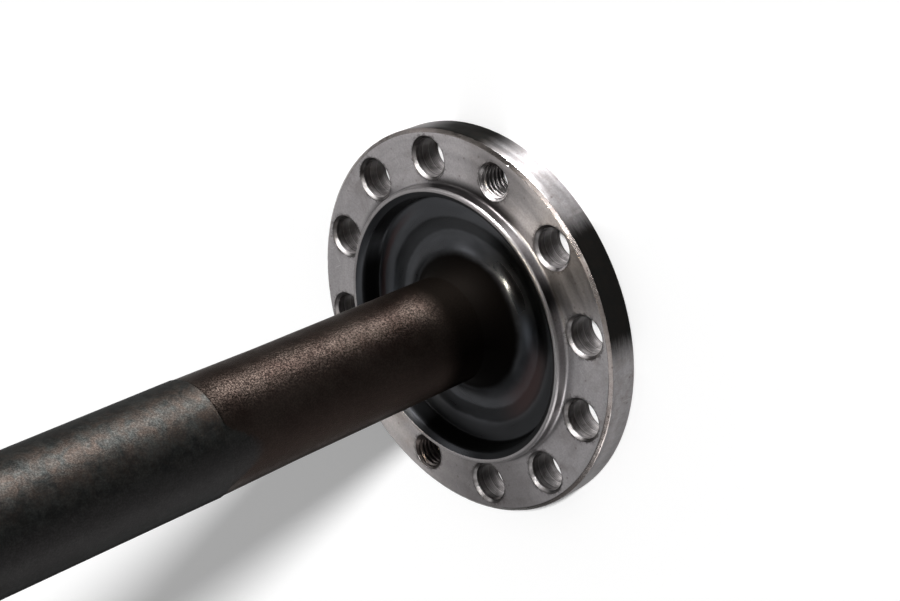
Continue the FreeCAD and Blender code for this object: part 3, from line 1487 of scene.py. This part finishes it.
@dataclass(frozen=True)
class ForgingScale(HardenedBar):
    """Brown neck scale, greyed where the bar was heated, with painted glints, light and shadow."""

    # The scale's dark and light patches, its side of painted light, and the painted shadow at the neck's
    # foot and step
    brown_dark: Colour = (0.0095, 0.0066, 0.0056)
    brown_light: Colour = (0.0165, 0.0128, 0.0109)
    neck_side_light: Film = Film((0.024, 0.0175, 0.0155), 0.7)
    shade_black: Colour = (0.0022, 0.0017, 0.0014)

    # How dark patches turn to light ones, and how much the grains vary where the painted glints are
    brown_clouds: Ramp = Ramp(0.35, 0.65)
    neck_glint_grains: Ramp = Ramp(0.38, 0.70, 0.4, 2.3)

    # How the painted shadow of the flange sets in down the neck, and the thin painted shadow line below the
    # step
    foot_shadow: Ramp = Ramp(48.0 * MM, 32.0 * MM)
    step_shadow_line: Ramp = Ramp(145.7 * MM, 146.3 * MM, 0.0, 0.75)

    # Where the bar's skin takes over, how far its tongue reaches back, and how far the skins overlap
    step_z: float = 146.6 * MM
    tongue: float = 12.0 * MM
    tongue_side: Patch = Patch(197.0, 20.626, 17.189, raggedness=0.2)
    step_fade: float = 0.4 * MM
    tongue_fade: float = 3.0 * MM

    # Roughness from dark patches to light ones and in the painted shadow at the foot, and the grain's depth
    neck_roughness: Ramp = Ramp(0.25, 0.75, 0.47, 0.36)
    foot_shade_roughness: float = 0.95
    neck_relief: float = 0.18 * MM

    def paint(self, graph: Graph) -> dict:
        """Browns the neck, paints light, glints and shadow on it, and runs the bar's own skin into it.

        Args:
            graph: the material's node tree.

        Returns:
            Values or outputs by the names of the shader's inputs.
        """
        bar = super().paint(graph)
        height = PolarPlace.use(graph)["Height"]
        grain = ForgedGrain.use(graph, Scale=1700.0)
        broad = graph.noise(graph.place(), scale=45.0, detail=4.0, roughness=0.6)
        cloudy = self.brown_clouds.of(graph, broad)
        colour = graph.mix(cloudy, self.brown_dark, self.brown_light)
        # Painted light: a paler stretch on the side that the light fills
        colour = self.neck_side_light.over(graph, colour, self.painted_light_side.mask(graph))
        # Painted glints: grain contrast raised on the side where the highlight falls
        colour = self.grains_and_glints(graph, colour, self.neck_glint_grains)
        # Painted shadow: the neck darkens towards its foot where the flange keeps light off, and in a line
        # below the step
        shaded = self.foot_shadow.of(graph, height)
        for shadow_mask in (shaded, self.step_shadow_line.of(graph, height)):
            colour = graph.mix(shadow_mask, colour, self.shade_black)
        rough = graph.blend(shaded, self.neck_roughness.of(graph, grain["Mottle"]), self.foot_shade_roughness)
        reach = self.tongue_side.mask(graph)
        fade = graph.blend(reach, self.step_fade, self.tongue_fade)
        past_edge = graph.minus(height, graph.minus(self.step_z, graph.times(reach, self.tongue)))
        greyed = graph.ramp(past_edge, graph.times(fade, -1.0), fade)
        return {"Base Color": graph.mix(greyed, colour, bar["Base Color"]),
                "Metallic": bar["Metallic"],
                "Roughness": graph.blend(greyed, rough, bar["Roughness"]),
                "Normal": self.bump(graph, grain["Height"], self.neck_relief)}


@dataclass(frozen=True)
class BoredSteel(Finish):
    """Drilled and bored walls with feed marks, and painted light and shade by the bearing that a wall
    faces.
    """

    # The clean metal, what has dried on it, and how closely the feed marks lie
    metal: Colour = (0.30, 0.285, 0.285)
    dirt: Film = Film((0.03, 0.024, 0.022), 0.6)
    marks_per_metre: float = 1500.0

    # Where the painted light faces, in degrees round from +X, and how the painted light brightens the metal
    # as it turns there
    painted_light_bearing: float = 325.0
    wall_light_ramp: Ramp = Ramp(-0.4, 0.95, 0.25, 2.3)

    # How the feed marks darken and brighten the metal, its roughness over them and their depth
    feed: Ramp = Ramp(0.34, 0.64, 0.4, 1.45)
    roughness: Ramp = Ramp(0.3, 0.7, 0.26, 0.42)
    relief: float = 0.05 * MM

    # The side of the flange where painted shade darkens a hole, and that painted shade, which the plain
    # holes don't have
    hole_shade_side: Patch = Patch(90.0, 20.0, 4.0)
    hole_shade: Film = Film((0.03, 0.024, 0.022), 0.0)

    def paint(self, graph: Graph) -> dict:
        """Marks and dirties the bored wall, and paints light and shade on it.

        Args:
            graph: the material's node tree.

        Returns:
            Values or outputs by the names of the shader's inputs.
        """
        height = graph.split(graph.place())["Z"]
        marks = graph.noise(graph.vector(0.0, 0.0, graph.times(height, self.marks_per_metre)))
        soiled = Blotches.use(graph, Scale=180.0, Amount=0.45, Softness=0.15, Seed=6.0)["Mask"]
        # Painted light and shade: walls facing one bearing are brightened, those facing away darkened
        turn = math.radians(self.painted_light_bearing)
        facing = graph.add("VectorMath", {0: graph.add("TexCoord").outputs["Normal"],
                                          1: (math.cos(turn), math.sin(turn), 0.0)},
                           operation="DOT_PRODUCT").outputs["Value"]
        level = graph.times(self.wall_light_ramp.of(graph, facing), self.feed.of(graph, marks))
        colour = self.dirt.over(graph, graph.shade(self.metal, level), soiled)
        # Painted shade: the threaded hole that lies in the shaft's shadow is darkened
        return {"Base Color": self.hole_shade.over(graph, colour, self.hole_shade_side.mask(graph)),
                "Metallic": 1.0,
                "Roughness": self.roughness.of(graph, marks),
                "Normal": self.bump(graph, marks, self.relief)}


class Use(Enum):
    """What a lamp is there for."""

    LIGHT = "light and shadow"
    SHEEN = "reflections in the steel"


@dataclass(frozen=True)
class Direction:
    """A direction from the flange.

    Args:
        bearing: degrees round from the camera's own bearing.
        height: degrees above the floor.
    """

    bearing: float
    height: float

    def vector(self, camera_bearing: float) -> Vector:
        """Returns the direction as a vector of length one."""
        turn, rise = math.radians(camera_bearing + self.bearing), math.radians(self.height)
        return Vector((math.cos(turn) * math.cos(rise), math.sin(turn) * math.cos(rise), math.sin(rise)))


@dataclass(frozen=True)
class Lamp:
    """A flat rectangular lamp that points at the flange.

    Args:
        name: its name.
        towards: where it hangs, seen from the flange.
        size: width and depth, in metres.
        radiance: how bright its surface is, where 1 is white.
        distance: metres from the flange.
        tint: colour.
    """

    name: str
    towards: Direction
    size: tuple[float, float]
    radiance: float
    distance: float = 1.6
    tint: Colour = WHITE

    def build(self, camera_bearing: float) -> None:
        """Hangs the lamp so that only sheen shows it.

        Args:
            camera_bearing: the camera's own bearing, in degrees round from +X.
        """
        data = bpy.data.lights.new(self.name, "AREA")
        data.shape = "RECTANGLE"
        data.size, data.size_y = self.size
        data.energy = self.radiance * math.pi * self.size[0] * self.size[1]
        hang(data, Use.SHEEN, self.towards.vector(camera_bearing), self.distance, self.tint)


def hang(data: bpy.types.Light, use: Use, towards: Vector, distance: float, tint: Colour) -> None:
    """Puts a lamp in the room.

    Args:
        data: the lamp.
        use: what it is there for.
        towards: the direction that it hangs in.
        distance: metres from the flange.
        tint: colour of its light.
    """
    data.color = tint
    lamp = bpy.data.objects.new(data.name, data)
    lamp.location = towards * distance
    lamp.rotation_euler = towards.to_track_quat("Z", "Y").to_euler()
    lamp.visible_glossy = use is Use.SHEEN
    lamp.visible_diffuse = use is Use.LIGHT
    bpy.context.scene.collection.objects.link(lamp)


@dataclass
class Studio:
    """Floor, lamps, surroundings and camera."""

    # The camera's level distance from the shaft's axis, its height, its bearing in degrees round from
    # +X, where the middle of its view meets the floor, and how far it is turned about that view
    camera_reach: float = 0.58345
    camera_height: float = 0.49701
    camera_bearing: float = 229.9156
    aim: tuple[float, float, float] = (0.01798, 0.00546, 0.0)
    roll: float = 112.9766

    # Focal length and width of the sensor, in millimetres
    lens: float = 76.0518
    sensor: float = 36.0

    # The floor's half width, how much light it returns, what it adds where it is seen, and the rays
    # that see it
    floor_reach: float = 12.0
    floor_white: float = 0.94
    floor_glow: float = 0.1
    seeing_rays: tuple[str, ...] = ("Camera", "Glossy", "Transmission")

    # How bright the room is, where 1 is white
    room_shade: float = 0.3

    # The key, its distance, its light in watts per square metre, and how wide it looks in degrees
    key_towards: Direction = Direction(12.0, 45.0)
    key_distance: float = 2.0
    key_strength: float = 3.0
    key_softness: float = 5.0

    # The lamps that the steel reflects
    panels: tuple[Lamp, ...] = (
        Lamp("side_panel", Direction(59.0, 11.0), (0.26, 0.5), 500.0),
        Lamp("far_side_panel", Direction(-88.0, 22.0), (0.8, 0.6), 6.5),
        Lamp("near_side_panel", Direction(-75.0, 52.0), (0.7, 0.7), 1.3),
        Lamp("rear_side_panel", Direction(115.0, 42.0), (0.5, 0.5), 6.0),
        Lamp("back_panel", Direction(166.0, 38.0), (1.5, 0.8), 1.0),
        Lamp("overhead", Direction(150.0, 83.0), (0.6, 0.6), 0.9, tint=SKY),
        Lamp("bevel_glint", Direction(42.0, 61.0), (0.26, 0.3), 19.0),
        Lamp("front_spot", Direction(6.0, 50.0), (0.14, 0.14), 36.0),
        Lamp("star", Direction(96.0, 80.2), (0.34, 0.06), 230.0, tint=(1.0, 0.9, 0.72)),
        Lamp("bowl_glow", Direction(205.0, 68.0), (0.32, 0.32), 5.0, tint=SKY),
    )

    def build(self) -> None:
        """Sets up everything round the shaft."""
        self.camera()
        self.floor()
        self.surroundings()
        self.lamps()

    def camera(self) -> None:
        """Places the camera at the photograph's viewing angle."""
        data = bpy.data.cameras.new("camera")
        data.lens = self.lens
        data.sensor_width = self.sensor
        turn = math.radians(self.camera_bearing)
        eye = Vector((self.camera_reach * math.cos(turn), self.camera_reach * math.sin(turn),
                      self.camera_height))
        view = (Vector(self.aim) - eye).to_track_quat("-Z", "Y").to_matrix()
        camera = bpy.data.objects.new("camera", data)
        camera.matrix_world = (Matrix.Translation(eye) @ view.to_4x4()
                               @ Matrix.Rotation(math.radians(-self.roll), 4, "Z"))
        bpy.context.scene.collection.objects.link(camera)
        bpy.context.scene.camera = camera

    def floor(self) -> None:
        """Lays a plain white floor that keeps the shaft's shadow."""
        shape = bmesh.new()
        bmesh.ops.create_grid(shape, x_segments=1, y_segments=1, size=self.floor_reach)
        data = bpy.data.meshes.new("floor")
        shape.to_mesh(data)
        shape.free()
        floor = bpy.data.objects.new("floor", data)
        bpy.context.scene.collection.objects.link(floor)
        data.materials.append(self.floor_material())

    def floor_material(self) -> bpy.types.Material:
        """Makes matt white that is a little brighter wherever it is seen.

        Returns:
            The material.
        """
        material = bpy.data.materials.new("floor_white")
        material.use_nodes = True
        nodes = material.node_tree.nodes
        nodes.remove(nodes["Principled BSDF"])
        graph = Graph(material.node_tree)
        rays = graph.add("LightPath").outputs
        seen = reduce(graph.larger, [rays[f"Is {kind} Ray"] for kind in self.seeing_rays])
        glow = {"Color": WHITE, "Strength": graph.times(seen, self.floor_glow)}
        matt = graph.add("BsdfDiffuse", {"Color": (self.floor_white,) * 3})
        both = graph.add("AddShader", {0: matt.outputs[0], 1: graph.add("Emission", glow).outputs[0]})
        graph.put(nodes["Material Output"].inputs["Surface"], both.outputs[0])
        return material

    def surroundings(self) -> None:
        """Fills the room with an even light."""
        world = bpy.data.worlds.new("room")
        world.use_nodes = True
        background = world.node_tree.nodes["Background"]
        background.inputs["Color"].default_value = (*(self.room_shade,) * 3, 1.0)
        bpy.context.scene.world = world

    def lamps(self) -> None:
        """Hangs the key that casts the shadow, and the panels that the steel reflects."""
        key = bpy.data.lights.new("key", "SUN")
        key.energy = self.key_strength
        key.angle = math.radians(self.key_softness)
        hang(key, Use.LIGHT, self.key_towards.vector(self.camera_bearing), self.key_distance, WHITE)
        for panel in self.panels:
            panel.build(self.camera_bearing)


@dataclass
class AxleShaft:
    """The whole forging: one closed mesh with its finishes."""

    sizes: ShaftSizes

    # Degrees between two faces from which their edge stays crisp
    sharp: float = 28.0

    # How far the ring's finish goes past its land's inner edge, how far inside its mouth a thread's
    # finish starts, and how far off a flat face a spot still belongs to it
    land_strip: float = 0.1 * MM
    thread_strip: float = 0.1 * MM
    face_depth: float = 0.01 * MM

    def build(self) -> bpy.types.Object:
        """Builds the mesh, dresses it and puts it in the frame.

        Returns:
            The shaft's object.
        """
        mesh = bmesh.new()
        TurnedBody(self.sizes).build(mesh)
        BoltCircle(self.sizes).build(mesh)
        self.close_faces(mesh)
        Spline(self.sizes).shape(mesh)
        Bruising().apply(mesh, self.sizes)
        bmesh.ops.recalc_face_normals(mesh, faces=mesh.faces[:])
        self.smooth(mesh)
        data = bpy.data.meshes.new(NODE)
        for finish in self.finishes():
            data.materials.append(finish.material())
        for face in mesh.faces:
            face.material_index = self.region(face).value
        mesh.to_mesh(data)
        mesh.free()
        shaft = bpy.data.objects.new("forged_half_shaft", data)
        bpy.context.scene.collection.objects.link(shaft)
        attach(shaft, "root")
        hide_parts(NODE)
        return shaft

    def close_faces(self, mesh: bmesh.types.BMesh) -> None:
        """Fills the bolting face and the outer face round their holes.

        Args:
            mesh: the mesh with every turned and bored wall.
        """
        for height in (self.sizes.face_z, 0.0):
            rims = [edge for edge in mesh.edges if edge.is_boundary
                    and all(abs(vert.co.z - height) < LEVEL for vert in edge.verts)]
            bmesh.ops.triangle_fill(mesh, edges=rims, use_beauty=True, use_dissolve=False, normal=UP)
        bmesh.ops.remove_doubles(mesh, verts=mesh.verts[:], dist=LEVEL)

    def smooth(self, mesh: bmesh.types.BMesh) -> None:
        """Shades every face smooth, and keeps the machined edges crisp.

        Args:
            mesh: the finished mesh.
        """
        limit = math.radians(self.sharp)
        for face in mesh.faces:
            face.smooth = True
        for edge in mesh.edges:
            flat = edge.is_manifold and edge.calc_face_angle(0.0) < limit
            edge.smooth = flat or self.in_thread(edge.verts[0].co)

    def in_thread(self, point: Vector) -> bool:
        """Returns whether a point lies in the wall of a jacking hole."""
        off_axis = Vector((point.x, abs(point.y) - self.sizes.bolt_circle_r, 0)).length
        return off_axis < self.sizes.jack_mouth_r - self.thread_strip

    def region(self, face: bmesh.types.BMFace) -> Region:
        """Tells which stretch of surface a face belongs to.

        Args:
            face: the face.

        Returns:
            Its region.
        """
        s = self.sizes
        middle = face.calc_center_median()
        radius = math.hypot(middle.x, middle.y)
        if middle.z > s.upset_z:
            return Region.SPLINE
        if middle.z > s.step_z:
            return Region.BAR
        if middle.z > s.neck_foot_z:
            return Region.NECK
        if self.in_thread(middle):
            return Region.THREAD
        if middle.z < self.face_depth or (radius < s.neck_r and middle.z < s.neck_foot_z):
            return Region.BACK
        if radius < s.land_inner_r - self.land_strip:
            return Region.DISH
        if radius < s.spigot_r + s.spigot_foot:
            on_wall = middle.z < s.face_z + s.spigot_height - s.spigot_chamfer
            return Region.FACE if on_wall and radius > s.land_outer_r else Region.RING
        if radius > s.flange_r - s.rim_bevel_width:
            return Region.RIM if middle.z < s.face_z - s.rim_bevel_drop else Region.BEVEL
        if middle.z > s.face_z - self.face_depth:
            return Region.FACE
        in_chamfer = middle.z > s.face_z - s.hole_chamfer or middle.z < s.hole_back_chamfer
        return Region.CHAMFER if in_chamfer else Region.BORE

    def finishes(self) -> list[Finish]:
        """Gives every region its finish.

        Returns:
            The finishes, in slot order.
        """
        by_region = {
            Region.FACE: BoltingFace("turned_face", sheen_turn=0.6, metal=(0.24, 0.228, 0.232)),
            Region.RIM: RimSteel("turned_rim", sheen_turn=0.7, metal=(0.24, 0.232, 0.236), roughness=0.34,
                                 tint=(0.5, 0.5, 0.5)),
            # The bevel's dark stretches are painted shade, as on the rim
            Region.BEVEL: RimSteel("bruised_bevel", metal=(0.25, 0.225, 0.216), roughness=0.25,
                                   relief=0.010 * MM, nicked=0.3, painted_shade_film=Film((0.05, 0.045, 0.042), 0.985),
                                   patches=(Patch(280.0, 18.0, 8.0), Patch(90.0, 60.0, 20.0))),
            Region.RING: TurnedSteel("turned_ring", sheen_turn=0.5, metal=(0.19, 0.18, 0.182)),
            Region.DISH: DishSteel("turned_dish", sheen_turn=0.6),
            Region.NECK: ForgingScale("forging_scale", sheen_turn=0.8, specular=0.0,
                                      tint=(0.6, 0.58, 0.57)),
            Region.BAR: HardenedBar("hardened_bar", sheen_turn=0.8, specular=0.0, tint=(0.62, 0.62, 0.62)),
            # The countersinks take painted light and shade by the bearing that they face
            Region.CHAMFER: BoredSteel("countersink", metal=(0.21, 0.2, 0.2), painted_light_bearing=245.0,
                                       wall_light_ramp=Ramp(0.35, 0.7, 0.25, 2.3)),
            Region.BORE: BoredSteel("bored_wall"),
            # The tapped walls take painted shade on the side of the flange that lies in shadow
            Region.THREAD: BoredSteel("tapped_wall", marks_per_metre=3000.0, metal=(0.36, 0.34, 0.34),
                                      hole_shade=Film((0.03, 0.024, 0.022), 0.93)),
            Region.SPLINE: TurnedSteel("hobbed_spline", metal=(0.045, 0.043, 0.041), roughness=0.5,
                                       stain=Film((0.02, 0.017, 0.015), 0.4),
                                       nick=Film((0.02, 0.017, 0.015), 0.75)),
            Region.BACK: TurnedSteel("turned_back", sheen_turn=0.6),
        }
        return [by_region[region] for region in Region]


def main() -> None:
    """Builds the shaft and its studio, in that order."""
    logging.basicConfig(level=logging.INFO, format="%(name)s: %(message)s")
    sizes = ShaftSizes.from_frame(frame["record"])
    shaft = AxleShaft(sizes).build()
    log.info("%s: %d faces", shaft.name, len(shaft.data.polygons))
    Studio().build()
    bpy.context.scene.view_settings.view_transform = "Standard"


if __name__ == "__main__":
    main()
